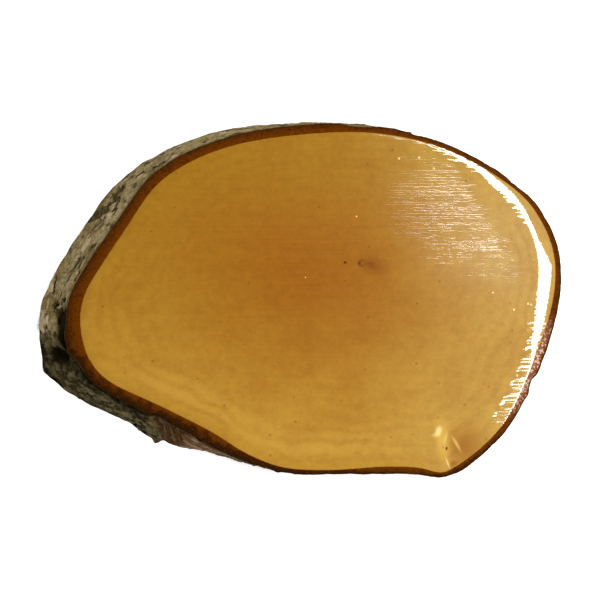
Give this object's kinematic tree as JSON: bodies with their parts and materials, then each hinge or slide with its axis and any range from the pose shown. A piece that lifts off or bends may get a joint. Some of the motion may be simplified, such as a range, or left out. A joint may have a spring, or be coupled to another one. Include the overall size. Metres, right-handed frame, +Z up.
{
  "type": "wood slice",
  "caption": "Oval slice sawn at a slant from a round log, bark left on, with a flat varnished cut face on top; a coaster, plaque or display base.",
  "frame": {"origin": "middle of the bounding box, on the plane of the sawn underside", "axes": "+Z up out of the varnished cut face, +X along the oval towards the end whose side is undercut"},
  "size_m": [0.2196, 0.1494, 0.015],
  "materials": {
    "wood": "glossy amber varnish on the cut face, bare sawn wood below",
    "bark": "rough grey papery bark, brown and lightly varnished where it is cut"
  },
  "bodies": {
    "root": {"wood": "wood", "bark": "bark"}
  },
  "joints": []
}
